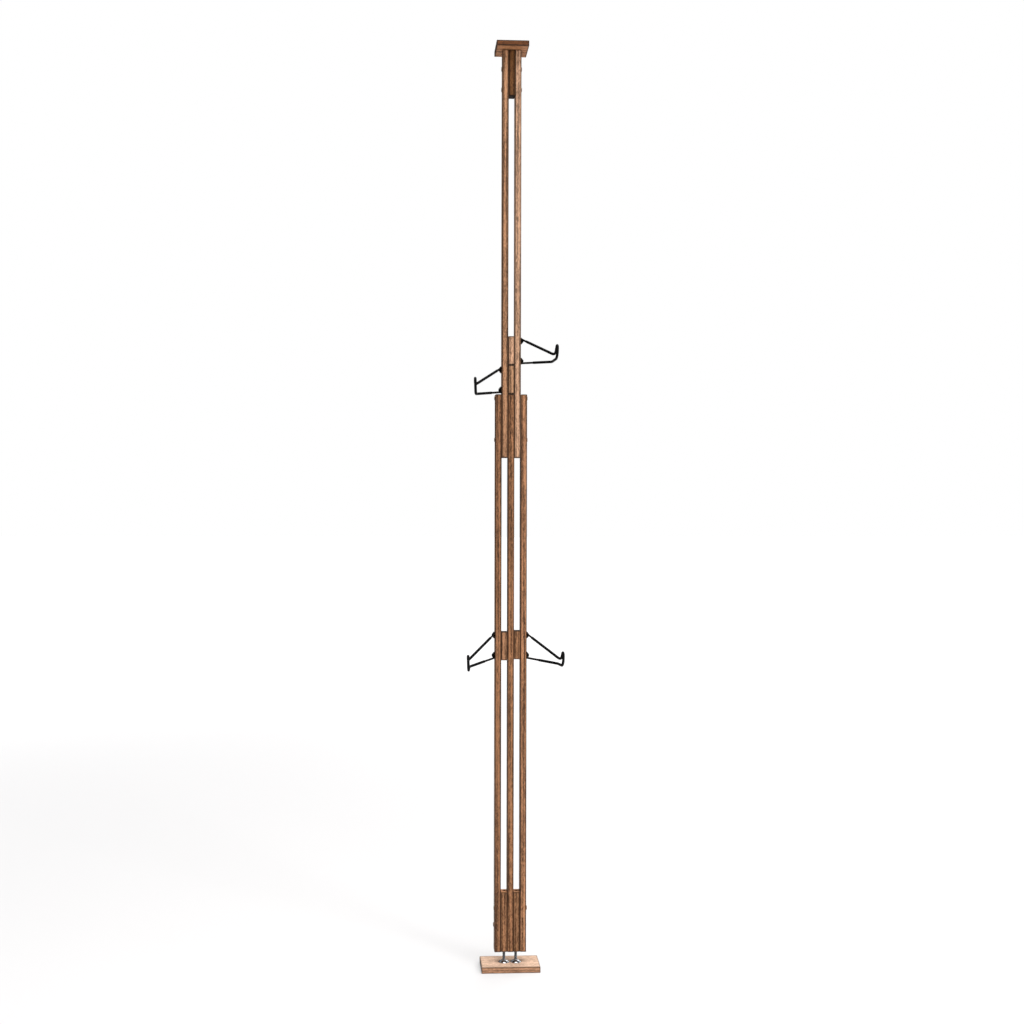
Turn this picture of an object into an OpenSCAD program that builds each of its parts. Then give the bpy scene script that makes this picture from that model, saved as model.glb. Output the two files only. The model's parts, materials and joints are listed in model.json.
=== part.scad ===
// Floor-to-ceiling tension pole with four wire arms that hold two bicycles.
// Three lower laths stand on two screw feet, and two inner laths telescope up between them.
// Millimetres. +Z is up, the arms reach forward along -Y, and +X is to the right.
// The origin is the middle of the floor plate's underside.

/* [Laths] */
// Width of a lath, across the pole
lath_w = 18; // [17:0.5:19]
// Depth of a lath, front to back
lath_d = 32; // [30:1:36]
// Clearance on each side of a sliding lath
slide_gap = 0.25; // [0.2:0.05:0.4]
// Length of the three lower laths
lower_len = 1600; // [1580:1:1620]
// Length of the two inner laths
inner_len = 1171; // [1160:1:1200]
// How far the inner laths reach down between the lower laths
overlap = 182; // [176:1:190]
// Width of the eased edge on every wooden piece
ease = 1.2; // [0.6:0.2:1.6]

/* [Plates] */
// Width of the floor plate
floor_w = 168; // [140:1:200]
// Thickness of the floor plate
floor_t = 18; // [14:1:20]
// Width of the ceiling plate
ceiling_w = 93; // [84:1:110]
// Depth of both plates, front to back
plate_d = 90; // [84:1:110]
// Thickness of the ceiling plate
plate_t = 16; // [14:1:20]

/* [Blocks] */
// Length of the two foot blocks
foot_block_len = 172; // [170:1:180]
// Length of the blocks that the arms are bolted to
arm_block_len = 82; // [80:1:90]
// Length of the block under the ceiling plate
top_block_len = 132; // [130:1:140]
// How far a block's front and back sit behind the laths
block_inset = 1; // [0.5:0.5:2]

/* [Feet] */
// Space between the floor plate and the laths
foot_gap = 32; // [30:1:40]
// Diameter of the threaded foot rod
foot_rod_d = 8; // [7:1:8]
// Distance of each foot from the middle of the pole
foot_x = 17; // [17:0.5:18.5]
// Diameter of the domed foot
foot_disc_d = 30; // [26:1:31]
// Depth of the recess that the foot turns in
recess_depth = 2; // [1.5:0.5:4]

/* [Arms] */
// Distance between the two bolts of an arm
bolt_pitch = 58; // [54:1:60]
// Height of the lower arms' lower bolts
lower_arm_z = 900; // [860:1:940]
// Diameter of the bent steel rod
rod_d = 6; // [5:0.5:6]
// Outer diameter of the sleeve on the rod
sleeve_d = 7.8; // [7.4:0.1:8.4]
// How far the cradle stands out from the lath, sideways
arm_spread = 84; // [74:1:94]
// How far the nose of the cradle stands forward of the bolts
arm_reach = 168; // [160:1:180]
// How much higher the noses of the right arms sit, and how much lower those of the left
nose_lift = 7; // [0:0.5:8]

/* [Hardware] */
// Diameter of the bolts
bolt_d = 6; // [5:0.5:6]
// Diameter of a flat bolt head
head_d = 12; // [10:0.5:12]
// Outer diameter of a washer
washer_d = 16; // [14:1:18]

/* [Hidden] */
$fn = 48;

// Colours
oak = [0.63, 0.46, 0.35];
oak_left = [0.58, 0.42, 0.32];
oak_right = [0.72, 0.56, 0.44];
oak_light = [0.84, 0.71, 0.60];
oak_dark = [0.40, 0.27, 0.19];
black_steel = [0.05, 0.05, 0.05];
black_sleeve = [0.09, 0.09, 0.09];
zinc = [0.75, 0.76, 0.78];

// Places across the pole: each channel between two lower laths takes a sliding lath
channel_w = lath_w + 2 * slide_gap;
channel_x = lath_w / 2 + channel_w / 2;
outer_x = lath_w + channel_w;
pole_w = 3 * lath_w + 2 * channel_w;
inner_pair_w = 3 * lath_w + 2 * slide_gap;
lower_face = pole_w / 2;
upper_face = channel_x + lath_w / 2 + slide_gap;
block_d = lath_d - 2 * block_inset;

// Heights
lower_z = floor_t + foot_gap;
lower_top = lower_z + lower_len;
inner_z = lower_top - overlap;
inner_top = inner_z + inner_len;
top_block_z = inner_top - top_block_len;
first_bolt = (arm_block_len - bolt_pitch) / 2;
mid_block_drop = 1.5;
mid_block_step = 3;
mid_block_z = lower_arm_z - first_bolt - mid_block_drop;
stack_gap = 1.5;
upper_left_z = lower_top + stack_gap;
upper_right_z = upper_left_z + arm_block_len + stack_gap;
upper_left_arm_z = upper_left_z + first_bolt;
upper_right_arm_z = upper_right_z + first_bolt;

// Bolts through the wood, as [y, z]: the foot bolts pass either side of the foot rods
foot_bolt_y = 8.6;
foot_bolt_up = [72, 125];
clamp_bolt_down = [130, 10];
top_bolt_up = [21, 80];
foot_bolts = [[foot_bolt_y, lower_z + foot_bolt_up[0]], [-foot_bolt_y, lower_z + foot_bolt_up[1]]];
clamp_bolts_at = [for (down = clamp_bolt_down) [0, lower_top - down]];
top_bolts = [for (up = top_bolt_up) [0, top_block_z + up]];
lower_arm_bolts_at = [lower_arm_z, lower_arm_z + bolt_pitch];

// The slot in each inner lath, as the heights of its two round ends
slot_w = bolt_d + 1;
slot_foot = 22;
slot_head = 27;
slot_low = inner_z + slot_foot;
slot_high = top_block_z - slot_head;

// Clearances
bolt_bore = bolt_d + 0.4;
thread_bore = bolt_d + 0.1;
running_gap = 0.06;
seat_gap = 0.05;
wood_gap = 0.1;
end_gap = 0.3;

// Connector bolts: a flat head with a shank, and a flat head with a sleeve over the shank's end
head_t = 2.2;
cap_d = 9;
cap_len = 16;
shank_short = 3;
socket_af = 4;
socket_depth = 1.4;
button_socket = 2;

// Arm bolts, washers and the nuts they turn into
button_d = 11;
button_h = 3.3;
washer_t = 1.2;
sleeve_nut_d = 9;
sleeve_nut_len = 44;
lower_bolt_tip = 5;
insert_d = 10;
insert_len = 12;
upper_bolt_tip = 1;

// The profile of a button head, as [in from its rim, share of its height]
button_steps = [[0, 0], [0.2, 0.35], [1.1, 0.7], [2.4, 0.93], [3.2, 1]];

// Feet, and the profile of a foot's dome as [in from its rim, up from its rim]
recess_d = foot_disc_d + 2;
disc_rim_h = 2.5;
disc_h = 9;
dome_steps = [[0.6, 0], [2.5, 1.6], [5.5, 3]];
collar_d = 13;
collar_edge = 0.8;
foot_z = floor_t - recess_depth + seat_gap;
rod_socket = 2;
foot_rod_z = foot_z + rod_socket + seat_gap;
foot_rod_len = 136;
foot_rod_tip = 1;
foot_insert_d = 12;
foot_insert_len = 20;
foot_bore_d = foot_rod_d + 1;

// Screws that hold the ceiling plate to the ends of the inner laths
screw_d = 4.5;
screw_head_d = 9;
screw_len = 50;
screw_lip = 0.4;
screw_tip = 2;
screw_seat = 0.1;
cross_len = 4.4;
cross_w = 0.8;
cross_depth = 1.5;

// The arm's rod, as [outward, forward, up] from the lower bolt on the lath's face
eye_t = 4;
eye_r = rod_d / 2 + bolt_d / 2 + 1;
eye_turn = 270;
elbow_at = [arm_spread - 5, arm_reach - 72, -17];
nose_foot_at = [arm_spread + 1, arm_reach, -18];
nose_tip_at = [arm_spread + 2, arm_reach - 2, 30];
valley_at = [arm_spread, arm_reach - 37, 1];
elbow_r = 20;
nose_foot_r = 20;
nose_tip_r = 9;
valley_r = 20;
eye_bend_r = 5;
lower_lead = washer_d / 2;
upper_lead = washer_d / 2 - 1;
rod_sides = 12;
grip_start = 0.40;
grip_end = 0.85;
grip_gap = 0.04;

// ---- Shapes that repeat ----

// A rectangle round the origin with its corners cut at 45 degrees
module eased_rect(w, h, edge) {
    polygon([
        [-w / 2 + edge, -h / 2], [w / 2 - edge, -h / 2],
        [w / 2, -h / 2 + edge], [w / 2, h / 2 - edge],
        [w / 2 - edge, h / 2], [-w / 2 + edge, h / 2],
        [-w / 2, h / 2 - edge], [-w / 2, -h / 2 + edge]
    ]);
}

// A wooden bar standing on z, with all twelve edges eased
module bar(w, d, h, z = 0, x = 0) {
    translate([x, 0, z + h / 2]) {
        intersection() {
            linear_extrude(h, center = true) eased_rect(w, d, ease);
            rotate([90, 0, 0]) linear_extrude(d, center = true) eased_rect(w, h, ease);
            rotate([90, 0, 90]) linear_extrude(w, center = true) eased_rect(d, h, ease);
        }
    }
}

// A cylinder along X from x = a to x = b
module rod_x(a, b, d, y = 0, z = 0) {
    translate([a, y, z]) rotate([0, 90, 0]) cylinder(h = b - a, d = d);
}

// The hole that a connector bolt and its cap nut need across a pack of the given width
module connector_hole(pack_w, at) {
    rod_x(-pack_w, pack_w, bolt_bore, at[0], at[1]);
    rod_x(pack_w / 2 - cap_len - end_gap, pack_w, cap_d + 2 * wood_gap, at[0], at[1]);
}

// A hexagonal key socket that opens towards -X at x = a
module key_socket(a, y, z) {
    translate([a - 1, y, z])
        rotate([0, 90, 0]) cylinder(h = socket_depth + 1, d = socket_af / cos(30), $fn = 6);
}

// A flat head with a shank through a pack of the given width
module connector_bolt(pack_w, at) {
    difference() {
        union() {
            rod_x(-pack_w / 2 - head_t, -pack_w / 2, head_d, at[0], at[1]);
            rod_x(-pack_w / 2 - head_t / 2, pack_w / 2 - shank_short, bolt_d, at[0], at[1]);
        }
        key_socket(-pack_w / 2 - head_t, at[0], at[1]);
    }
}

// A flat head with a sleeve that the shank turns into
module cap_nut(pack_w, at) {
    mirror([1, 0, 0]) {
        difference() {
            union() {
                rod_x(-pack_w / 2 - head_t, -pack_w / 2, head_d, at[0], at[1]);
                rod_x(-pack_w / 2 - head_t / 2, -pack_w / 2 + cap_len, cap_d, at[0], at[1]);
            }
            rod_x(-pack_w / 2 + shank_short / 2, pack_w, thread_bore, at[0], at[1]);
            key_socket(-pack_w / 2 - head_t, at[0], at[1]);
        }
    }
}

// Puts a shape drawn for the right side on the left side too, or instead
module side(is_left) {
    mirror([is_left ? 1 : 0, 0, 0]) children();
}

// ---- Floor plate and feet ----

module floor_plate() {
    color(oak_light) difference() {
        bar(floor_w, plate_d, floor_t);
        for (x = [-foot_x, foot_x])
            translate([x, 0, floor_t - recess_depth]) cylinder(h = recess_depth + 1, d = recess_d);
    }
}

// A domed disc with a blind hole for its rod
module foot_disc(x) {
    color(zinc) translate([x, 0, foot_z]) difference() {
        rotate_extrude($fn = 96) {
            intersection() {
                square([foot_disc_d / 2, disc_h]);
                union() {
                    square([foot_disc_d / 2, disc_rim_h]);
                    polygon(concat(
                        [[0, disc_rim_h]],
                        [for (s = dome_steps) [foot_disc_d / 2 - s[0], disc_rim_h + s[1]]],
                        [
                            [collar_d / 2 + collar_edge, disc_h - 3 * collar_edge],
                            [collar_d / 2, disc_h - 2 * collar_edge],
                            [collar_d / 2 - collar_edge, disc_h], [0, disc_h]
                        ]
                    ));
                }
            }
        }
        translate([0, 0, rod_socket]) cylinder(h = disc_h, d = foot_rod_d + 2 * seat_gap);
    }
}

module foot_rod(x) {
    color(zinc) translate([x, 0, foot_rod_z]) {
        cylinder(h = foot_rod_len - foot_rod_tip, d = foot_rod_d);
        translate([0, 0, foot_rod_len - foot_rod_tip])
            cylinder(h = foot_rod_tip, d1 = foot_rod_d, d2 = foot_rod_d - 2 * foot_rod_tip);
    }
}

module foot_disc_left() {
    foot_disc(-foot_x);
}

module foot_disc_right() {
    foot_disc(foot_x);
}

module foot_rod_left() {
    foot_rod(-foot_x);
}

module foot_rod_right() {
    foot_rod(foot_x);
}

// Threaded inserts in the lower ends of the foot blocks
module foot_inserts() {
    color(zinc) for (x = [-foot_x, foot_x]) translate([x, 0, lower_z]) difference() {
        cylinder(h = foot_insert_len, d = foot_insert_d);
        translate([0, 0, -1])
            cylinder(h = foot_insert_len + 2, d = foot_rod_d + 2 * running_gap);
    }
}

// ---- Lower frame ----

module foot_block(hand) {
    color(oak) difference() {
        bar(channel_w, block_d, foot_block_len, lower_z, hand * channel_x);
        translate([hand * foot_x, 0, lower_z - 1]) {
            cylinder(h = foot_block_len + 2, d = foot_bore_d);
            cylinder(h = foot_insert_len + 1, d = foot_insert_d + 2 * seat_gap);
        }
        for (at = foot_bolts) connector_hole(pole_w, at);
    }
}

module foot_block_left() {
    foot_block(-1);
}

module foot_block_right() {
    foot_block(1);
}

module foot_block_bolts() {
    color(oak_dark) for (at = foot_bolts) connector_bolt(pole_w, at);
}

module foot_block_nuts() {
    color(oak_dark) for (at = foot_bolts) cap_nut(pole_w, at);
}

// The holes for the lower arms' bolts and for the sleeve nuts that they meet in
module lower_arm_holes() {
    for (z = lower_arm_bolts_at) {
        rod_x(-pole_w, pole_w, bolt_bore, 0, z);
        rod_x(
            -sleeve_nut_len / 2 - end_gap, sleeve_nut_len / 2 + end_gap,
            sleeve_nut_d + 2 * wood_gap, 0, z
        );
    }
}

module lower_lath(x) {
    difference() {
        bar(lath_w, lath_d, lower_len, lower_z, x);
        for (at = concat(foot_bolts, clamp_bolts_at)) connector_hole(pole_w, at);
        lower_arm_holes();
    }
}

module outer_lath_left() {
    color(oak_left) lower_lath(-outer_x);
}

module centre_lath() {
    color(oak) lower_lath(0);
}

module outer_lath_right() {
    color(oak_right) lower_lath(outer_x);
}

module mid_block(x, z) {
    color(oak) difference() {
        bar(channel_w, block_d, arm_block_len, z, x);
        lower_arm_holes();
    }
}

module mid_block_left() {
    mid_block(-channel_x, mid_block_z);
}

module mid_block_right() {
    mid_block(channel_x, mid_block_z + mid_block_step);
}

module lower_arm_sleeve_nuts() {
    color(zinc) for (z = lower_arm_bolts_at) difference() {
        rod_x(-sleeve_nut_len / 2, sleeve_nut_len / 2, sleeve_nut_d, 0, z);
        rod_x(-sleeve_nut_len, sleeve_nut_len, thread_bore, 0, z);
    }
}

module clamp_bolts() {
    color(oak_dark) for (at = clamp_bolts_at) connector_bolt(pole_w, at);
}

module clamp_nuts() {
    color(oak_dark) for (at = clamp_bolts_at) cap_nut(pole_w, at);
}

// ---- Upper frame ----

module inner_lath(x) {
    color(oak_right) difference() {
        bar(lath_w, lath_d, inner_len, inner_z, x);
        for (z = [slot_low, slot_high]) rod_x(x - lath_w, x + lath_w, slot_w, 0, z);
        translate([x - lath_w, -slot_w / 2, slot_low])
            cube([2 * lath_w, slot_w, slot_high - slot_low]);
        for (at = top_bolts) connector_hole(inner_pair_w, at);
        translate([x, 0, inner_top + plate_t - screw_len - 1])
            cylinder(h = screw_len, d = screw_d + 2 * seat_gap);
    }
}

module inner_lath_left() {
    inner_lath(-channel_x);
}

module inner_lath_right() {
    inner_lath(channel_x);
}

module top_block() {
    color(oak_dark) difference() {
        bar(channel_w, block_d, top_block_len, top_block_z);
        for (at = top_bolts) connector_hole(inner_pair_w, at);
    }
}

module top_block_bolts() {
    color(oak_dark) for (at = top_bolts) connector_bolt(inner_pair_w, at);
}

module top_block_nuts() {
    color(oak_dark) for (at = top_bolts) cap_nut(inner_pair_w, at);
}

// A countersunk head on a shank, with its top at z = 0
module screw(head, shank, length) {
    rotate_extrude() polygon([
        [0, 0], [head / 2, 0], [head / 2, -screw_lip], [shank / 2, -screw_lip - (head - shank) / 2],
        [shank / 2, screw_tip - length], [0, -length]
    ]);
}

module ceiling_plate() {
    color(oak_dark) difference() {
        bar(ceiling_w, plate_d, plate_t, inner_top);
        for (x = [-channel_x, channel_x])
            translate([x, 0, inner_top + plate_t])
                screw(screw_head_d + 2 * (wood_gap + screw_seat), screw_d + 2 * wood_gap, 2 * plate_t);
    }
}

module ceiling_plate_screws() {
    color(zinc) for (x = [-channel_x, channel_x])
        translate([x, 0, inner_top + plate_t - screw_seat]) difference() {
            screw(screw_head_d, screw_d, screw_len);
            for (turn = [0, 90]) rotate(turn)
                translate([-cross_len / 2, -cross_w / 2, -cross_depth])
                    cube([cross_len, cross_w, 2 * cross_depth]);
        }
}

// ---- Arms ----

function unit(v) = v / norm(v);

// Points on the arc of radius r that rounds the corner b of the path a, b, c
function corner_arc(a, b, c, r, steps) =
    let(
        to_a = unit(a - b),
        to_c = unit(c - b),
        half = acos(to_a * to_c) / 2,
        centre = b + unit(to_a + to_c) * r / sin(half),
        first = b + to_a * r / tan(half) - centre,
        last = b + to_c * r / tan(half) - centre,
        turn = 180 - 2 * half
    )
    [for (i = [0:steps]) centre
        + (first * sin(turn * (1 - i / steps)) + last * sin(turn * i / steps)) / sin(turn)];

// A bend of the lower run that is lifted in proportion to how far forward it lies
function lifted(p, lift) = [p[0], p[1], p[2] + lift * p[1] / arm_reach];

// Where the rod leaves the lower eye forward, and the upper eye over its bolt
eye_x = eye_t / 2;
eye_steps = 15;
lower_leave = [eye_x, lower_lead, -eye_r];
upper_eye = [eye_x, 0, bolt_pitch];
slope = unit([0, -valley_at[1], bolt_pitch - valley_at[2]]);
over_bolt = [0, slope[2], -slope[1]];
upper_touch = upper_eye + eye_r * over_bolt;
upper_leave = upper_touch - slope * upper_lead;
upper_start = atan2(over_bolt[1], over_bolt[2]);

lower_eye_arc = [for (i = [0:eye_steps - 1]) let(a = -eye_turn * (1 - i / eye_steps))
    [eye_x, eye_r * sin(a), -eye_r * cos(a)]];
upper_eye_arc = [for (i = [1:eye_steps]) let(a = upper_start - eye_turn * i / eye_steps)
    upper_eye + [0, eye_r * sin(a), eye_r * cos(a)]];

// The bends in order: out of the lower eye, elbow, nose, valley, and into the upper eye
function bends(lift) =
    let(
        elbow = lifted(elbow_at, lift),
        nose_foot = lifted(nose_foot_at, lift),
        nose_tip = lifted(nose_tip_at, lift)
    )
    [
        corner_arc([eye_x, 0, -eye_r], lower_leave, elbow, eye_bend_r, 4),
        corner_arc(lower_leave, elbow, nose_foot, elbow_r, 4),
        corner_arc(elbow, nose_foot, nose_tip, nose_foot_r, 7),
        corner_arc(nose_foot, nose_tip, valley_at, nose_tip_r, 9),
        corner_arc(nose_tip, valley_at, upper_leave, valley_r, 6),
        corner_arc(valley_at, upper_leave, upper_touch, eye_bend_r, 4)
    ];

function rod_path(lift) = concat(lower_eye_arc, [for (b = bends(lift)) each b], upper_eye_arc);

// The grip starts part of the way along the lower run and ends part of the way up the slope
function grip_path(lift) =
    let(
        b = bends(lift),
        low = b[0][4],
        high = b[5][0]
    )
    concat(
        [low + (b[1][0] - low) * grip_start],
        b[1], b[2], b[3], b[4],
        [b[4][6] + (high - b[4][6]) * grip_end]
    );

// The rod is flattened in its eyes, so its half thickness grows with its distance from the lath
function half_thickness(p) = min(rod_d / 2, max(eye_t / 2, eye_t / 2 + (p[0] - eye_x) * 0.5));

// The direction of the path at its point i, midway between its two neighbours
function heading(path, i) = unit(
    (i > 0 ? unit(path[i] - path[i - 1]) : [0, 0, 0])
    + (i < len(path) - 1 ? unit(path[i + 1] - path[i]) : [0, 0, 0])
);

// A ring of points round the path's point i, with one radius sideways and one across
function ring(path, i, r_side, r_across) =
    let(
        t = heading(path, i),
        out = unit([1, 0, 0] - t * t[0]),
        across = cross(t, out)
    )
    [for (k = [0:rod_sides - 1]) let(a = 360 * (k + 0.5) / rod_sides)
        path[i] + out * r_side * cos(a) + across * r_across * sin(a)];

// The quads between the rings of one tube, whose points start at the given index
function tube_quads(rings, start, inward) = [
    for (i = [0:rings - 2], k = [0:rod_sides - 1])
        let(
            a = start + i * rod_sides + k,
            b = start + i * rod_sides + (k + 1) % rod_sides,
            c = b + rod_sides,
            d = a + rod_sides
        )
        inward ? [a, b, c, d] : [a, d, c, b]
];

module arm_rod(lift) {
    path = rod_path(lift);
    n = len(path);
    points = [for (i = [0:n - 1]) each ring(path, i, half_thickness(path[i]), rod_d / 2)];
    caps = [
        [for (k = [0:rod_sides - 1]) k],
        [for (k = [rod_sides - 1:-1:0]) (n - 1) * rod_sides + k]
    ];
    polyhedron(points, concat(tube_quads(n, 0, false), caps), convexity = 10);
}

module arm_grip(lift) {
    path = grip_path(lift);
    n = len(path);
    inner_r = rod_d / 2 + grip_gap;
    outer = [for (i = [0:n - 1]) each ring(path, i, sleeve_d / 2, sleeve_d / 2)];
    inner = [for (i = [0:n - 1]) each ring(path, i, inner_r, inner_r)];
    m = n * rod_sides;
    last = m - rod_sides;
    caps = [for (k = [0:rod_sides - 1]) let(j = (k + 1) % rod_sides)
        each [[k, j, m + j, m + k], [last + k, last + m + k, last + m + j, last + j]]];
    polyhedron(
        concat(outer, inner),
        concat(tube_quads(n, 0, false), tube_quads(n, m, true), caps),
        convexity = 10
    );
}

// Puts a right-hand arm piece, drawn as [outward, forward, up], on a lath's face
module on_face(is_left, face_x, z) {
    side(is_left) translate([face_x, 0, z]) mirror([0, 1, 0]) children();
}

module arm(is_left, face_x, z) {
    color(black_steel) on_face(is_left, face_x, z) arm_rod(is_left ? -nose_lift : nose_lift);
}

module grip(is_left, face_x, z) {
    color(black_sleeve) on_face(is_left, face_x, z) arm_grip(is_left ? -nose_lift : nose_lift);
}

module washers(is_left, face_x, z) {
    color(black_steel) on_face(is_left, face_x, z) for (up = [0, bolt_pitch]) difference() {
        rod_x(eye_t, eye_t + washer_t, washer_d, 0, up);
        rod_x(0, 2 * eye_t + washer_t, bolt_bore, 0, up);
    }
}

// Button-head bolts whose tips end at x = tip on the pole
module arm_bolts(is_left, face_x, z, tip) {
    color(black_steel) on_face(is_left, face_x, z) for (up = [0, bolt_pitch]) difference() {
        union() {
            translate([eye_t + washer_t, 0, up]) rotate([0, 90, 0]) rotate_extrude()
                polygon(concat(
                    [[0, 0]],
                    [for (s = button_steps) [button_d / 2 - s[0], button_h * s[1]]],
                    [[0, button_h]]
                ));
            rod_x(tip - face_x, eye_t + washer_t + button_h / 4, bolt_d, 0, up);
        }
        translate([eye_t + washer_t + button_h, 0, up]) rotate([0, 90, 0])
            cylinder(h = 2 * button_socket, d = socket_af / cos(30), center = true, $fn = 6);
    }
}

module lower_left_arm() {
    arm(true, lower_face, lower_arm_z);
}

module lower_left_grip() {
    grip(true, lower_face, lower_arm_z);
}

module lower_left_washers() {
    washers(true, lower_face, lower_arm_z);
}

module lower_left_bolts() {
    arm_bolts(true, lower_face, lower_arm_z, lower_bolt_tip);
}

module lower_right_arm() {
    arm(false, lower_face, lower_arm_z);
}

module lower_right_grip() {
    grip(false, lower_face, lower_arm_z);
}

module lower_right_washers() {
    washers(false, lower_face, lower_arm_z);
}

module lower_right_bolts() {
    arm_bolts(false, lower_face, lower_arm_z, lower_bolt_tip);
}

// A block that stands on the centre lath between the inner laths, drilled for a right-hand arm
module upper_block(is_left, z) {
    color(oak) difference() {
        bar(lath_w, block_d, arm_block_len, z);
        side(is_left) for (up = [0, bolt_pitch]) {
            rod_x(
                lath_w / 2 - insert_len - end_gap, lath_w,
                insert_d + 2 * seat_gap, 0, z + first_bolt + up
            );
            rod_x(-lath_w / 4, lath_w, bolt_bore, 0, z + first_bolt + up);
        }
    }
}

module upper_inserts(is_left, z) {
    color(zinc) side(is_left) for (up = [0, bolt_pitch]) difference() {
        rod_x(lath_w / 2 - insert_len, lath_w / 2, insert_d, 0, z + first_bolt + up);
        rod_x(-lath_w, lath_w, thread_bore, 0, z + first_bolt + up);
    }
}

module upper_left_block() {
    upper_block(true, upper_left_z);
}

module upper_left_inserts() {
    upper_inserts(true, upper_left_z);
}

module upper_left_arm() {
    arm(true, upper_face, upper_left_arm_z);
}

module upper_left_grip() {
    grip(true, upper_face, upper_left_arm_z);
}

module upper_left_washers() {
    washers(true, upper_face, upper_left_arm_z);
}

module upper_left_bolts() {
    arm_bolts(true, upper_face, upper_left_arm_z, upper_bolt_tip);
}

module upper_right_block() {
    upper_block(false, upper_right_z);
}

module upper_right_inserts() {
    upper_inserts(false, upper_right_z);
}

module upper_right_arm() {
    arm(false, upper_face, upper_right_arm_z);
}

module upper_right_grip() {
    grip(false, upper_face, upper_right_arm_z);
}

module upper_right_washers() {
    washers(false, upper_face, upper_right_arm_z);
}

module upper_right_bolts() {
    arm_bolts(false, upper_face, upper_right_arm_z, upper_bolt_tip);
}

floor_plate();
foot_disc_left();
foot_rod_left();
foot_disc_right();
foot_rod_right();
foot_inserts();
foot_block_left();
foot_block_right();
foot_block_bolts();
foot_block_nuts();
outer_lath_left();
centre_lath();
outer_lath_right();
mid_block_left();
mid_block_right();
lower_arm_sleeve_nuts();
lower_left_arm();
lower_left_grip();
lower_left_washers();
lower_left_bolts();
lower_right_arm();
lower_right_grip();
lower_right_washers();
lower_right_bolts();
clamp_bolts();
clamp_nuts();
inner_lath_left();
inner_lath_right();
top_block();
top_block_bolts();
top_block_nuts();
ceiling_plate();
ceiling_plate_screws();
upper_left_block();
upper_left_inserts();
upper_left_arm();
upper_left_grip();
upper_left_washers();
upper_left_bolts();
upper_right_block();
upper_right_inserts();
upper_right_arm();
upper_right_grip();
upper_right_washers();
upper_right_bolts();
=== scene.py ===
"""The looks of the floor-to-ceiling bicycle pole: oiled wood, black rods and bright screw feet."""

import json
import math

import bmesh
import bpy
import numpy as np
from mathutils import Matrix, Vector


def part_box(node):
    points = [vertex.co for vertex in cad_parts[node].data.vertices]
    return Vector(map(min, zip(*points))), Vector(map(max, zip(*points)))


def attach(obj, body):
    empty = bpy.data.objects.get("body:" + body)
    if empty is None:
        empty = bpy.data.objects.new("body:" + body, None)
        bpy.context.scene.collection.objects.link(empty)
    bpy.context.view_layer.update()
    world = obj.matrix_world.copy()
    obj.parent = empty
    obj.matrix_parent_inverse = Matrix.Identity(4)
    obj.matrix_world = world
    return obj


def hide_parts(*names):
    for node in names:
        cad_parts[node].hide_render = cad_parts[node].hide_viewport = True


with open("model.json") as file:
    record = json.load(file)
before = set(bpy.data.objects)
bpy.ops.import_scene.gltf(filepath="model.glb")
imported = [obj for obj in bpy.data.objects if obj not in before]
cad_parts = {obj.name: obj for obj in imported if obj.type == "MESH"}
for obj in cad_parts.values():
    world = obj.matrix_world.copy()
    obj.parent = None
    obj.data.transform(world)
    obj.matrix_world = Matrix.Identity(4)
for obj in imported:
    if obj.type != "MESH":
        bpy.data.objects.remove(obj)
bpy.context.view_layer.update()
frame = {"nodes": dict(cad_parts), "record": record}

MM = 0.001
NODES = frame["nodes"]
RECORD = frame["record"]
BODY_OF = {n: b for b, members in RECORD["behaviour"]["bodies"].items() for n in members}


# ---- Camera ----

# The camera stands level with the middle of the pole, a little to its left, and turned towards it
CAMERA_PLACE = Vector((-0.3233, -3.4939, 1.312))
CAMERA_TURN = math.radians(-3.0)
CAMERA_ROLL = math.radians(0.12)
CAMERA_LENS = 42.785
CAMERA_SENSOR = 36.0
CAMERA_SHIFT = 0.04877
CAMERA_REACH = 200.0


def add_camera():
    data = bpy.data.cameras.new("camera")
    data.lens = CAMERA_LENS
    data.sensor_width = CAMERA_SENSOR
    data.shift_x = CAMERA_SHIFT
    data.clip_end = CAMERA_REACH
    camera = bpy.data.objects.new("camera", data)
    bpy.context.scene.collection.objects.link(camera)
    turn = Matrix.Rotation(CAMERA_TURN, 4, "Z") @ Matrix.Rotation(math.radians(90), 4, "X")
    roll = Matrix.Rotation(CAMERA_ROLL, 4, "Z")
    camera.matrix_world = Matrix.Translation(CAMERA_PLACE) @ turn @ roll
    bpy.context.scene.camera = camera


# ---- Node graphs ----

def fill(tree, node, sockets):
    """Gives each of a node's sockets its value, or links it."""
    for key, value in sockets.items():
        if isinstance(value, bpy.types.NodeSocket):
            tree.links.new(value, node.inputs[key])
        else:
            node.inputs[key].default_value = value


def put(tree, kind, sockets=None, **settings):
    """Adds a node, sets its settings, and fills its sockets with values or links."""
    node = tree.nodes.new(kind)
    for key, value in settings.items():
        setattr(node, key, value)
    fill(tree, node, sockets or {})
    return node


def calc(tree, operation, a, b=0.0, c=0.0):
    """A Math node's result."""
    return put(tree, "ShaderNodeMath", {0: a, 1: b, 2: c}, operation=operation).outputs[0]


def weighted(tree, start, *terms):
    """start plus each term's value times its weight; terms are (value, weight)."""
    for value, weight in terms:
        start = calc(tree, "MULTIPLY_ADD", value, weight, start)
    return start


def vector_calc(tree, operation, a, b=(0, 0, 0)):
    """A Vector Math node's result, for the operations that give a vector."""
    return put(tree, "ShaderNodeVectorMath", {0: a, 1: b}, operation=operation).outputs[0]


def separate(tree, vector):
    """The X, Y and Z of a vector."""
    return put(tree, "ShaderNodeSeparateXYZ", {0: vector}).outputs


def coordinate(tree, kind):
    """One of the Texture Coordinate node's results: Object, Normal or Generated."""
    return put(tree, "ShaderNodeTexCoord").outputs[kind]


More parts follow.
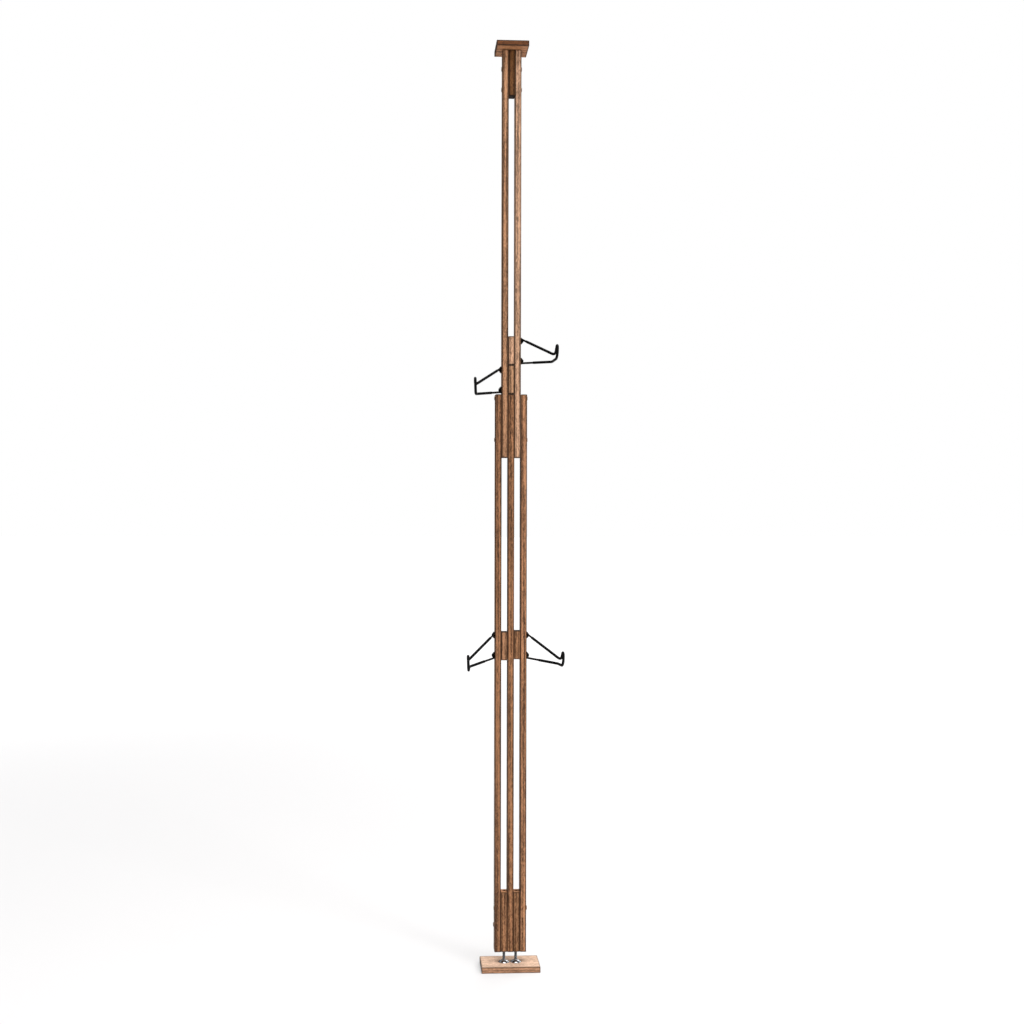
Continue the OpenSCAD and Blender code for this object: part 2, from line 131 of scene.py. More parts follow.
def camera_sees(tree):
    """1 for a ray that comes straight from the camera, and 0 for one that has bounced."""
    return put(tree, "ShaderNodeLightPath").outputs["Is Camera Ray"]


def ramp(tree, factor, stops):
    """A colour ramp's colour; stops are (place, linear RGB)."""
    node = put(tree, "ShaderNodeValToRGB", {"Fac": factor})
    elements = node.color_ramp.elements
    while len(elements) < len(stops):
        elements.new(0.5)
    for element, (place, colour) in zip(elements, stops):
        element.position = place
        element.color = (*colour, 1.0)
    return node.outputs["Color"]


def span(tree, value, low, high, to_low=0.0, to_high=1.0):
    """value mapped from low..high to to_low..to_high, smoothly and clamped."""
    sockets = {
        "Value": value, "From Min": low, "From Max": high, "To Min": to_low, "To Max": to_high,
    }
    node = put(tree, "ShaderNodeMapRange", sockets, interpolation_type="SMOOTHSTEP")
    return node.outputs["Result"]


# Where a colour Mix node has its sockets, which share their names with those of its other kinds
MIX_FACTOR, MIX_A, MIX_B, MIX_RESULT = 0, 6, 7, 2


def mix(tree, factor, a, b, blend="MIX"):
    """Two colours mixed; each may be a socket or a linear RGB triple."""
    a, b = (v if isinstance(v, bpy.types.NodeSocket) else (*v, 1.0) for v in (a, b))
    sockets = {MIX_FACTOR: factor, MIX_A: a, MIX_B: b}
    node = put(tree, "ShaderNodeMix", sockets, data_type="RGBA", blend_type=blend)
    return node.outputs[MIX_RESULT]


def noise(tree, vector, scale, detail, rough, distort=0.0):
    """A Noise Texture's value, from 0 to 1."""
    sockets = {
        "Vector": vector, "Scale": scale, "Detail": detail, "Roughness": rough,
        "Distortion": distort,
    }
    return put(tree, "ShaderNodeTexNoise", sockets).outputs["Fac"]


def placed(tree, scale=(1, 1, 1), offset=(0, 0, 0), turn=(0, 0, 0)):
    """Object coordinates, moved by offset, turned and then scaled."""
    sockets = {"Vector": coordinate(tree, "Object"), "Location": offset, "Rotation": turn}
    moved = put(tree, "ShaderNodeMapping", sockets).outputs[0]
    return put(tree, "ShaderNodeMapping", {"Vector": moved, "Scale": scale}).outputs[0]


def surface(name):
    """A new material with a Principled shader: (material, tree, shader)."""
    material = bpy.data.materials.new(name)
    material.use_nodes = True
    tree = material.node_tree
    tree.nodes.clear()
    shader = put(tree, "ShaderNodeBsdfPrincipled")
    put(tree, "ShaderNodeOutputMaterial", {"Surface": shader.outputs[0]})
    return material, tree, shader


def bump(tree, height, strength, distance):
    """A normal tilted by the slopes of height, distance metres deep."""
    sockets = {"Height": height, "Strength": strength, "Distance": distance}
    return put(tree, "ShaderNodeBump", sockets).outputs[0]


def srgb(r, g, b):
    """0 to 255 screen values as linear RGB."""
    values = (r / 255, g / 255, b / 255)
    return tuple(v / 12.92 if v <= 0.04045 else ((v + 0.055) / 1.055) ** 2.4 for v in values)


def shade(colour, share):
    """A linear RGB colour, each part times share."""
    return tuple(v * share for v in colour)


# ---- Wood ----

# What turns each axis of the grain into Z, along which the layers below are stretched
GRAIN_TURN = {"X": (0, math.radians(90), 0), "Z": (0, 0, 0)}

# The layers of noise: their share of scale along the grain, scale, detail, roughness, distortion
LAYERS = {
    "broad": (0.10, 34.0, 3.0, 0.55, 0.0),
    "bands": (0.018, 210.0, 2.0, 0.55, 0.3),
    "mottle": (0.20, 250.0, 3.0, 0.65, 0.0),
    "grit": (0.28, 520.0, 1.0, 0.5, 0.0),
    "fibre": (0.022, 1500.0, 3.0, 0.6, 0.0),
    "pores": (0.045, 2100.0, 1.0, 0.4, 0.0),
}

# The year rings, and their share of scale along the grain
RINGS_ALONG = 0.035
RINGS = {
    "Scale": 62.0, "Distortion": 7.0, "Detail": 3.0, "Detail Scale": 0.9, "Detail Roughness": 0.55,
}

# How much the year rings and the layers add to the figure, and where their sum is dark and light
WEIGHTS = {
    "rings": 0.22, "broad": 0.40, "bands": 0.65, "mottle": 0.75, "grit": 0.55, "fibre": 0.50,
}
FIGURE_DARK, FIGURE_LIGHT = 1.22, 1.84
# Where in the figure the second darkest tone and the middle one lie
BETWEEN_AT, MIDDLE_AT = 0.28, 0.55
# Where the pores' noise turns into a pore, and how much of its tone shows
PORE_FROM, PORE_TO, PORE_SHOWS = 0.60, 0.70, 0.55

# How squarely a face looks along an axis, from 0 to 1, as it turns into a level face or end grain
LEVEL_FROM, LEVEL_TO = 0.5, 0.9
END_GRAIN_FROM, END_GRAIN_TO = 0.60, 0.95

# The distances from an edge, and from the end of the grain, over which the painted shade fades,
# and how far the layers shift its line, all in metres
EDGE_FROM, EDGE_TO = -0.0022, 0.0023
TIP_FROM, TIP_TO = 0.0006, 0.0028
EDGE_BROAD, EDGE_MOTTLE, TIP_MOTTLE = 0.0016, 0.0030, -0.0012

# How far the lightest and darkest tones are from the middle one, as shares of it, at contrast 1
LIGHTER, DARKER = 0.85, 0.80
# The tones of pores, painted shade at edges, dark ends with painted shade and pale ends with
# painted light, as shares of the middle one
PORE_TONE, EDGE_SHADE_TONE, DARK_END_SHADE_TONE, PALE_END_LIGHT_TONE = 0.28, 0.10, 0.12, 2.6


def wood_layers(tree, grain, seed):
    """The layers of noise by name, and the year rings among them."""
    offset = (0.37 * seed + 0.11, 0.73 * seed - 0.05, 1.31 * seed)

    def stretched(along):
        return placed(tree, (1, 1, along), offset, GRAIN_TURN[grain])

    layers = {name: noise(tree, stretched(along), *look) for name, (along, *look) in LAYERS.items()}
    layers["rings"] = put(
        tree, "ShaderNodeTexWave", {"Vector": stretched(RINGS_ALONG), **RINGS},
        wave_type="RINGS", rings_direction="Z", wave_profile="SIN",
    ).outputs["Fac"]
    return layers


def from_faces(tree, low, high):
    """How far a point of a bar is from the bar's faces along X, Y and Z, in metres."""
    centre = [(a + b) / 2 for a, b in zip(low, high)]
    half = [(b - a) / 2 for a, b in zip(low, high)]
    away = vector_calc(tree, "SUBTRACT", coordinate(tree, "Object"), centre)
    return separate(tree, vector_calc(tree, "SUBTRACT", half, vector_calc(tree, "ABSOLUTE", away)))


def edge_distance(tree, inside):
    """The middle one of three distances from faces: how far a point is from the nearest edge."""
    least = calc(tree, "MINIMUM", inside[0], inside[1])
    most = calc(tree, "MAXIMUM", inside[0], inside[1])
    return calc(tree, "MAXIMUM", least, calc(tree, "MINIMUM", most, inside[2]))


def painted_edge_shade(tree, layers, inside, axis, edge_shade, tip_shade):
    """Painted shade along the edges and in the last millimetres of the grain, 0 to 1."""
    broad, mottle = layers["broad"], layers["mottle"]
    ragged = weighted(tree, 0.0, (broad, EDGE_BROAD), (mottle, EDGE_MOTTLE))
    near = calc(tree, "SUBTRACT", edge_distance(tree, inside), ragged)
    # Painted shade along the edges, where rounded arrises and the gaps between pieces are in shade
    edge = span(tree, near, EDGE_FROM, EDGE_TO, edge_shade, 0.0)
    end = weighted(tree, inside[axis], (mottle, TIP_MOTTLE))
    # Painted shade in the last millimetres of the grain, at the joints between pieces
    return calc(tree, "MAXIMUM", edge, span(tree, end, TIP_FROM, TIP_TO, tip_shade, 0.0))


def wood(node, seed, tone, grain, contrast, edge_shade, end_light_and_shade, tip_shade, side_shade):
    """Oiled wood whose fibres run along grain. tone is its middle colour on screen, 0 to 255.

    edge_shade is how dark the painted shade on its edges is, tip_shade how dark that in its last
    millimetres is, and end_light_and_shade how dark its end grain is, partly its own tone and
    partly painted shade, or below 0 how light its ends are with painted light. side_shade, if
    given, is painted shade on the faces that don't look up or down.
    """
    material, tree, shader = surface("wood_" + node)
    middle = srgb(*tone)
    light = tuple(min(1.0, v) for v in shade(middle, 1 + LIGHTER * contrast))
    dark = shade(middle, 1 - DARKER * contrast)
    between = tuple((d + m) / 2 for d, m in zip(dark, middle))

    layers = wood_layers(tree, grain, seed)
    pore = span(tree, layers["pores"], PORE_FROM, PORE_TO)
    figure = weighted(tree, 0.0, *((layers[name], weight) for name, weight in WEIGHTS.items()))
    figure = span(tree, figure, FIGURE_DARK, FIGURE_LIGHT)
    stops = [(0.0, dark), (BETWEEN_AT, between), (MIDDLE_AT, middle), (1.0, light)]
    colour = ramp(tree, figure, stops)
    pored = calc(tree, "MULTIPLY", pore, PORE_SHOWS)
    colour = mix(tree, pored, colour, shade(middle, PORE_TONE))

    axis = "XYZ".index(grain)
    edge = painted_edge_shade(tree, layers, from_faces(tree, *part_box(node)), axis, edge_shade, tip_shade)
    facing = separate(tree, coordinate(tree, "Normal"))
    # Painted shade: the faces that don't look up or down are darkened
    if side_shade:
        level = span(tree, calc(tree, "ABSOLUTE", facing[2]), LEVEL_FROM, LEVEL_TO)
        colour = mix(tree, level, mix(tree, 1.0, colour, side_shade, "MULTIPLY"), colour)
    # Painted shade on the edges and in the last millimetres of the grain
    colour = mix(tree, edge, colour, shade(middle, EDGE_SHADE_TONE))
    # Ends: partly the end grain's own dark tone, partly painted shade; below 0, painted light
    along = calc(tree, "ABSOLUTE", facing[axis])
    end_shading = span(tree, along, END_GRAIN_FROM, END_GRAIN_TO, 0.0, abs(end_light_and_shade))
    end_shading_tone = DARK_END_SHADE_TONE if end_light_and_shade > 0 else PALE_END_LIGHT_TONE
    colour = mix(tree, end_shading, colour, shade(middle, end_shading_tone))

    rough = weighted(tree, 0.60, (figure, -0.10), (pore, 0.20), (edge, 0.10))
    height = weighted(tree, 0.0, (layers["fibre"], 0.7), (pore, -1.0), (layers["bands"], 0.5))
    fill(tree, shader, {
        "Base Color": colour, "Roughness": rough, "Specular IOR Level": 0.25, "IOR": 1.25,
        "Coat Weight": 0.02, "Coat Roughness": 0.35, "Normal": bump(tree, height, 0.6, 0.25 * MM),
    })
    return material


# ---- Metal and sleeve ----

def black_paint():
    """Powder-coated steel with orange peel, and bare steel where it has been rubbed."""
    material, tree, shader = surface("black_paint")
    at = placed(tree)
    peel = noise(tree, at, 1900.0, 2.0, 0.5)
    soft = noise(tree, at, 140.0, 3.0, 0.6)
    fine = noise(tree, at, 900.0, 4.0, 0.7)
    rub = span(tree, weighted(tree, 0.0, (soft, 0.75), (fine, 0.45)), 0.79, 0.86)
    colour = ramp(tree, soft, [(0.3, (0.00126,) * 3), (0.7, (0.0027, 0.0027, 0.00279))])
    colour = mix(tree, calc(tree, "MULTIPLY", rub, 0.4), colour, (0.030, 0.028, 0.026))
    rough = weighted(tree, 0.30, (soft, 0.16), (rub, 0.14))
    fill(tree, shader, {
        "Base Color": colour, "Roughness": rough, "Specular IOR Level": 0.18, "IOR": 1.22,
        "Normal": bump(tree, peel, 0.30, 0.12 * MM),
    })
    return material


def black_sleeve():
    """Smooth black shrink sleeve with faint rubbed patches and dust."""
    material, tree, shader = surface("black_sleeve")
    at = placed(tree)
    soft = noise(tree, at, 60.0, 3.0, 0.6)
    fine = noise(tree, at, 2600.0, 2.0, 0.6)
    dust = span(tree, noise(tree, at, 420.0, 4.0, 0.7), 0.58, 0.75)
    colour = ramp(tree, soft, [(0.3, (0.0014, 0.0014, 0.0015)), (0.7, (0.0034, 0.0034, 0.0037))])
    colour = mix(tree, calc(tree, "MULTIPLY", dust, 0.22), colour, (0.022, 0.021, 0.020))
    rough = weighted(tree, 0.42, (soft, 0.22), (dust, 0.15))
    fill(tree, shader, {
        "Base Color": colour, "Roughness": rough, "Specular IOR Level": 0.18, "IOR": 1.20,
        "Normal": bump(tree, fine, 0.35, 0.08 * MM),
    })
    return material


def bare_metal(name, low, high, roughness, brush, seed=0.0):
    """Plated steel whose tone wanders from low to high; brush stretches its fine scratches."""
    material, tree, shader = surface(name)
    soft = noise(tree, placed(tree, offset=(seed, seed, 0)), 190.0, 3.0, 0.6)
    fine = noise(tree, placed(tree, brush, (0, seed, 0)), 1700.0, 3.0, 0.6)
    smudge = noise(tree, placed(tree, offset=(0, 0, seed)), 70.0, 3.0, 0.65)
    colour = ramp(tree, soft, [(0.25, low), (0.75, high)])
    colour = mix(tree, span(tree, smudge, 0.55, 0.78, 0.0, 0.35), colour, shade(low, 0.55))
    dull = span(tree, smudge, 0.45, 0.75)
    rough = weighted(tree, roughness - 0.05, (fine, 0.10), (dull, 0.10))
    fill(tree, shader, {
        "Base Color": colour, "Metallic": 1.0, "Roughness": rough,
        "Normal": bump(tree, fine, 0.12, 0.05 * MM),
    })
    return material


# ---- Mesh tools ----

# The sharpest corner that still counts as round, in degrees
SHARP_BAR = 30.0
SHARP_FOOT = 35.0
SHARP_ROD = 50.0
SHARP_THREAD = 60.0


def stand_in(node, mesh, material, sharp):
    """Makes mesh the piece that stands for a CAD node: on its body, with its slot."""
    for polygon in mesh.polygons:
        polygon.use_smooth = True
    mesh.set_sharp_from_angle(angle=math.radians(sharp))
    mesh.materials.clear()
    mesh.materials.append(material)
    piece = bpy.data.objects.new(node + "_piece", mesh)
    bpy.context.scene.collection.objects.link(piece)
    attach(piece, BODY_OF[node])
    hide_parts(node)
    return piece


# Points of the CAD mesh closer than this are one, and faces turned by less than this are one flat
WELD_DISTANCE = 0.002 * MM
FLAT_ANGLE = math.radians(0.2)


def clean_copy(node):
    """The CAD node's mesh as a new bmesh, welded and with its flat faces whole."""
    bm = bmesh.new()
    bm.from_mesh(NODES[node].data)
    bmesh.ops.remove_doubles(bm, verts=bm.verts, dist=WELD_DISTANCE)
    bmesh.ops.dissolve_limit(
        bm, angle_limit=FLAT_ANGLE, verts=bm.verts, edges=bm.edges, use_dissolve_boundaries=False,
    )
    return bm


def softened(node, material, width, segments):
    """A piece in the CAD node's shape with its edges rounded."""
    bm = clean_copy(node)
    mesh = bpy.data.meshes.new(node + "_piece")
    bm.to_mesh(mesh)
    bm.free()
    bevel = stand_in(node, mesh, material, SHARP_BAR).modifiers.new("round", "BEVEL")
    bevel.width = width
    bevel.segments = segments
    bevel.limit_method = "ANGLE"
    bevel.angle_limit = math.radians(SHARP_BAR)
    bevel.use_clamp_overlap = True
    bevel.harden_normals = True


def closed_mesh(node, points, faces):
    """A new mesh with every face's normal outwards."""
    mesh = bpy.data.meshes.new(node + "_piece")
    mesh.from_pydata(points, [], faces)
    bm = bmesh.new()
    bm.from_mesh(mesh)
    bmesh.ops.recalc_face_normals(bm, faces=bm.faces)
    bm.to_mesh(mesh)
    bm.free()
    return mesh


def tube_mesh(node, rings, looped=False):
    """A tube through rings of equally many points, its ends capped, or joined if it is looped."""
    count = len(rings[0])
    faces = []
    for i in range(len(rings) if looped else len(rings) - 1):
        here, there = i * count, (i + 1) % len(rings) * count
        for k in range(count):
            after = (k + 1) % count
            faces.append((here + k, here + after, there + after, there + k))
    if not looped:
        last = (len(rings) - 1) * count
        faces.append(tuple(reversed(range(count))))
        faces.append(tuple(range(last, last + count)))
    return closed_mesh(node, [tuple(point) for ring in rings for point in ring], faces)


# ---- Feet ----

FOOT_SIDES = 96

# The foot's rim: how far in from its widest, and how high, in millimetres
FOOT_RIM = [(1.0, 0.0), (0.35, 0.12), (0.06, 0.5), (0.0, 1.0), (0.05, 1.7), (0.35, 2.15),
            (0.9, 2.4)]

# The dome from the rim to the neck: its steps, where it starts, its top as a share of the foot's
# height, and the turn and the power of the sine that it follows
DOME_STEPS = 14
DOME_INSET, DOME_START = 1.6 * MM, 2.55 * MM
DOME_TOP = 0.70
DOME_TURN, DOME_POWER = math.radians(78), 0.9

# The neck's width as a share of the foot's radius, and the gap round the rod in its socket
NECK_SHARE = 0.86
BORE_ROOM = 0.05 * MM


def hex_radius(across_flats, angle):
    """Where a ray at the given angle meets a hexagon."""
    sector = math.radians(60)
    return across_flats / 2 / math.cos((angle + sector / 2) % sector - sector / 2)


def foot_profile(r, h, bore):
    """The foot's outline from its underside to the floor of its socket: radius, height, and how
    hexagonal it is from 0 to 1."""
    neck = NECK_SHARE * r / 2
    profile = [(r - inset * MM, up * MM, 0.0) for inset, up in FOOT_RIM]
    for i in range(DOME_STEPS + 1):
        t = i / DOME_STEPS
        radius = r - DOME_INSET - (r - DOME_INSET - neck - 0.5 * MM) * t
        rise = math.sin(t * DOME_TURN) ** DOME_POWER
        profile.append((radius, DOME_START + (h * DOME_TOP - DOME_START) * rise, 0.0))
    # Up the hexagonal neck and over its rounded top, then down into the socket
    return profile + [
        (neck - 0.1 * MM, h * 0.715, 0.4),
        (neck - 0.2 * MM, h * 0.74, 1.0),
        (neck - 0.2 * MM, h - 0.75 * MM, 1.0),
        (neck - 0.5 * MM, h - 0.25 * MM, 0.75),
        (neck - 0.95 * MM, h - 0.03 * MM, 0.3),
        (neck - 1.4 * MM, h, 0.0),
        (bore + 0.35 * MM, h, 0.0),
        (bore, h - 0.3 * MM, 0.0),
        (bore, h * 0.45, 0.0),
    ]


def foot_disc(side, material):
    """A domed swivel foot with a hexagonal neck and a socket for the rod."""
    node = f"foot_disc_{side}"
    low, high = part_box(node)
    rod_low, rod_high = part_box(f"foot_rod_{side}")
    cx, cy = (low.x + high.x) / 2, (low.y + high.y) / 2
    bore = (rod_high.x - rod_low.x) / 2 + BORE_ROOM
    rings = []
    for radius, z, hexed in foot_profile((high.x - low.x) / 2, high.z - low.z, bore):
        ring = []
        for k in range(FOOT_SIDES):
            angle = 2 * math.pi * k / FOOT_SIDES
            flat = hex_radius(2 * radius * math.cos(math.radians(30)), angle)
            use = radius + (flat - radius) * hexed
            ring.append((cx + use * math.cos(angle), cy + use * math.sin(angle), low.z + z))
        rings.append(ring)
    stand_in(node, tube_mesh(node, rings), material, SHARP_FOOT)


THREAD_PITCH = 1.25 * MM
THREAD_DEPTH = 0.6 * MM
THREAD_SIDES = 28
# The thread's profile over one pitch, from its root at 0 to its crest at 1
THREAD_PROFILE = [0.0, 0.03, 0.30, 0.80, 1.0, 0.98, 0.62, 0.12]
# How many pitches it takes to fade out at each end, and how many the spiral leaves free
THREAD_FADE = 2.0
THREAD_SPARE = 1.2


def foot_rod(side, material):
    """A rod with its screw thread as one spiral surface."""
    node = f"foot_rod_{side}"
    low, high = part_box(node)
    cx, cy, r = (low.x + high.x) / 2, (low.y + high.y) / 2, (high.x - low.x) / 2
    around, rows = THREAD_SIDES, len(THREAD_PROFILE)
    total = int((high.z - low.z - THREAD_PITCH * THREAD_SPARE) / THREAD_PITCH * rows)
    points = []
    for j in range(total):
        faded = min(1.0, min(j, total - 1 - j) / (THREAD_FADE * rows))
        radius = r - THREAD_DEPTH + THREAD_DEPTH * THREAD_PROFILE[j % rows]
        radius = min(radius, r - THREAD_DEPTH * (1 - faded))
        for k in range(around):
            angle = 2 * math.pi * k / around
            z = low.z + THREAD_PITCH * (j / rows + k / around)
            points.append((cx + radius * math.cos(angle), cy + radius * math.sin(angle), z))
    faces = []
    for j in range(total - 1):
        for k in range(around):
            a = j * around + k
            if k < around - 1:
                faces.append((a, a + 1, a + 1 + around, a + around))
            elif j + rows + 1 < total:
                # The last point of a row meets the first one of the row a pitch further on
                b = (j + rows) * around
                faces.append((a, b, b + around, a + around))
    last = (total - 1) * around
    bottom = [*range(around), *(j * around for j in range(rows, 0, -1))]
    top = [*range(last, last + around)]
    top += [j * around + around - 1 for j in range(total - 2, total - 2 - rows, -1)]
    faces += [tuple(reversed(bottom)), tuple(top)]
    stand_in(node, closed_mesh(node, points, faces), material, SHARP_THREAD)


# ---- Arms ----

# How many points the CAD rod has round it, and then the rod and the sleeve made here
CAD_SIDES = 12
ROD_SIDES = 24
SLEEVE_SIDES = 28

# A step of the CAD rod's centre line longer than this is a straight stretch, shorter is a bend
STRAIGHT = 12 * MM
STRAIGHT_STEP = 6 * MM
BEND_PARTS = 3

# Shares of the CAD sizes, so that the rounder pieces stay inside the CAD shapes
ROD_FIT = 0.985
SLEEVE_FIT = 0.962

# The rounding of the rod's ends: how far in, in millimetres, and the share of the rod's thickness
END_ROUND = [(0.0, 0.80), (0.175, 0.94), (0.4, 1.0)]

# The sleeve's lips: how far in, in millimetres, and the share of the sleeve's own thickness
SLEEVE_LIP = [(0.0, 0.0), (0.05, 0.45), (0.22, 0.78), (0.55, 0.95), (1.0, 1.0)]
# How far from the sleeve's ends its plain rings stop, and the gap between it and the rod
SLEEVE_CLEAR, SLEEVE_ROOM = 1.4 * MM, 0.02 * MM
# The CAD grip's radius is this percentile of its corners' distances from the line, and the
# corners within this length of the line's point belong to its end
GRIP_PERCENTILE, GRIP_END = 75, 12 * MM


def unit(v):
    return v / np.linalg.norm(v)


def cross_axes(direction):
    """Two unit vectors square to a direction and to each other, the first one nearest to X."""
    side = unit(np.array([1.0, 0, 0]) - direction * direction[0])
    return side, np.cross(direction, side)


def rod_rings(node):
    """The CAD rod's rings of points from one end to the other, as a list of arrays."""
    bm = clean_copy(node)
    caps = [face for face in bm.faces if len(face.verts) == CAD_SIDES]
    ring = list(max(caps, key=lambda face: face.calc_center_median().z).verts)
    rings, seen = [], set()
    while ring:
        rings.append(np.array([v.co[:] for v in ring]))
        seen.update(v.index for v in ring)
        after = {edge.other_vert(v) for v in ring for edge in v.link_edges}
        ring = [v for v in after if v.index not in seen]
    bm.free()
    return rings


def headings(steps):
    """The rod's direction at each ring: a straight stretch's beside it, or the mean in a bend."""
    found = []
    for before, after in zip([steps[0], *steps], [*steps, steps[-1]]):
        if np.linalg.norm(after) > STRAIGHT:
            found.append(unit(after))
        elif np.linalg.norm(before) > STRAIGHT:
            found.append(unit(before))
        else:
            found.append(unit(unit(before) + unit(after)))
    return found


def ring_radii(ring, centre, direction):
    """The radii, sideways and across, of the circle or oval through a CAD ring's corners."""
    reach = [np.abs((ring - centre) @ axis).max() for axis in cross_axes(direction)]
    # A flat of the ring faces each way, so its corners are further out than it reaches
    return np.array(reach) / math.cos(math.radians(180 / CAD_SIDES))


def bend_point(t, a, b, lead_a, lead_b):
    """The point at t, from 0 to 1, on a smooth curve from a to b that sets out along its leads."""
    return ((2 * t**3 - 3 * t**2 + 1) * a + (t**3 - 2 * t**2 + t) * lead_a
            + (3 * t**2 - 2 * t**3) * b + (t**3 - t**2) * lead_b)


def rod_line(node):
    """The rod's centre line, made smooth: arrays of points, directions and [sideways, across]."""
    rings = rod_rings(node)
    centres = [ring.mean(0) for ring in rings]
    steps = [b - a for a, b in zip(centres, centres[1:])]
    heading = headings(steps)
    radii = [ring_radii(*ring) for ring in zip(rings, centres, heading)]
    points, directions, sizes = [centres[0]], [heading[0]], [radii[0]]
    for i, step in enumerate(steps):
        length = np.linalg.norm(step)
        bent = length < STRAIGHT
        leads = (heading[i] * length, heading[i + 1] * length)
        parts = BEND_PARTS if bent else max(1, int(length / STRAIGHT_STEP))
        for k in range(1, parts + 1):
            t = k / parts
            if bent:
                points.append(bend_point(t, centres[i], centres[i + 1], *leads))
            else:
                points.append(centres[i] + step * t)
            directions.append(unit(heading[i] * (1 - t) + heading[i + 1] * t))
            sizes.append(radii[i] * (1 - t) + radii[i + 1] * t)
    return np.array(points), np.array(directions), np.array(sizes)


def tube_ring(point, direction, side, across, count):
    """count points round a centre line's point; side and across are the ring's radii."""
    out, up = cross_axes(direction)
    angles = (2 * math.pi * k / count for k in range(count))
    return [point + out * side * math.cos(a) + up * across * math.sin(a) for a in angles]


def bent_rod(node, line, material):
    """The arm's rod, with rounded ends."""
    points, directions, sizes = line
    first, last = directions[0], directions[-1]
    stops = [(points[0] + first * inset * MM, first, sizes[0] * share)
             for inset, share in END_ROUND]
    stops += zip(points[1:-1], directions[1:-1], sizes[1:-1])
    stops += [(points[-1] - last * inset * MM, last, sizes[-1] * share)
              for inset, share in reversed(END_ROUND)]
    rings = [tube_ring(point, direction, *(size * ROD_FIT), ROD_SIDES)
             for point, direction, size in stops]
    stand_in(node, tube_mesh(node, rings), material, SHARP_ROD)


def sleeve(node, line, material):
    """The grip as a soft tube with rounded lips, over the stretch that the CAD grip covers."""
    points, directions, sizes = line
    lengths = np.concatenate([[0], np.cumsum(np.linalg.norm(np.diff(points, axis=0), axis=1))])
    corners = np.array([v.co[:] for v in NODES[node].data.vertices])
    away = np.array([((points - corner) ** 2).sum(1) for corner in corners])
    nearest = lengths[away.argmin(1)]
    outer = np.percentile(np.sqrt(away.min(1)), GRIP_PERCENTILE) * SLEEVE_FIT
    inner = sizes[:, 1].max() * ROD_FIT + SLEEVE_ROOM

    def grip_end(near, furthest):
        """The length along the line at which the CAD grip's end ring lies."""
        i = max(1, min(len(points) - 2, int(np.searchsorted(lengths, near))))
        close = np.linalg.norm(corners - points[i], axis=1) < GRIP_END
        return lengths[i] + furthest(((corners - points[i]) @ directions[i])[close])

    def ring(s, radius):
        """A ring of the sleeve at length s along the line."""
        i = max(1, min(len(lengths) - 1, int(np.searchsorted(lengths, s))))
        t = (s - lengths[i - 1]) / (lengths[i] - lengths[i - 1])
        point = points[i - 1] * (1 - t) + points[i] * t
        direction = unit(directions[i - 1] * (1 - t) + directions[i] * t)
        return tube_ring(point, direction, radius, radius, SLEEVE_SIDES)

    start, stop = grip_end(nearest.min(), np.min), grip_end(nearest.max(), np.max)
    lip = [(inset * MM, inner + (outer - inner) * share) for inset, share in SLEEVE_LIP]
    body = [s for s in lengths if start + SLEEVE_CLEAR < s < stop - SLEEVE_CLEAR]
    rings = [ring(start + inset, radius) for inset, radius in lip]
    rings += [ring(s, outer) for s in body]
    rings += [ring(stop - inset, radius) for inset, radius in reversed(lip)]
    rings += [ring(s, inner) for s in reversed(body)]
    stand_in(node, tube_mesh(node, rings, looped=True), material, SHARP_ROD)


# ---- Build ----

# Each wooden piece: middle colour on screen, grain, contrast, then painted shade on the edges, the
# ends' own dark tone with painted shade (painted light below 0), painted shade in the last
# millimetres, and painted shade on the faces that don't look up or down
WOOD = {
    "floor_plate": ((188, 157, 134), "X", 0.62, 0.62, 1.0, 0.6, (0.56, 0.44, 0.35)),
    "ceiling_plate": ((130, 89, 60), "X", 1.0, 1.0, 0.6, 0.7, (0.29, 0.22, 0.15)),
    # The top block's dark tone is partly the wood's own and partly painted shade under the ceiling
    # plate
    "top_block": ((80, 50, 25), "Z", 0.8, 0.95, 0.8, 0.9, None),
    "outer_lath_left": ((110, 75, 51), "Z", 1.0, 0.97, 0.6, 0.6, None),
    "centre_lath": ((116, 79, 53), "Z", 1.0, 0.97, 0.6, 0.6, None),
    "outer_lath_right": ((125, 87, 61), "Z", 1.0, 0.93, 0.6, 0.6, None),
    "inner_lath_left": ((126, 91, 66), "Z", 1.0, 0.97, 0.6, 0.6, None),
    "inner_lath_right": ((150, 116, 92), "Z", 0.9, 0.93, 0.5, 0.6, None),
    "foot_block_left": ((117, 81, 55), "Z", 1.0, 0.97, -0.9, 0.2, None),
    "foot_block_right": ((103, 71, 47), "Z", 1.0, 0.97, -0.9, 0.2, None),
    "mid_block_left": ((125, 89, 64), "Z", 0.9, 0.93, 0.6, 0.6, None),
    "mid_block_right": ((122, 85, 58), "Z", 0.9, 0.93, 0.6, 0.6, None),
    "upper_left_block": ((132, 98, 72), "Z", 0.9, 0.95, 0.8, 0.97, None),
    "upper_right_block": ((154, 118, 93), "Z", 0.9, 0.95, 0.8, 0.97, None),
}
BRONZED = ("foot_block_bolts", "foot_block_nuts", "clamp_bolts", "clamp_nuts",
           "top_block_bolts", "top_block_nuts")
ZINC = ("foot_inserts", "lower_arm_sleeve_nuts", "upper_left_inserts", "upper_right_inserts",
        "ceiling_plate_screws")

# How far edges are rounded, and in how many steps
WOOD_ROUND, BLACK_ROUND, BRONZED_ROUND, ZINC_ROUND = 0.5 * MM, 0.2 * MM, 0.25 * MM, 0.15 * MM
WOOD_STEPS, METAL_STEPS = 3, 2

add_camera()

for seed, (node, look) in enumerate(WOOD.items(), 1):
    softened(node, wood(node, seed, *look), WOOD_ROUND, WOOD_STEPS)

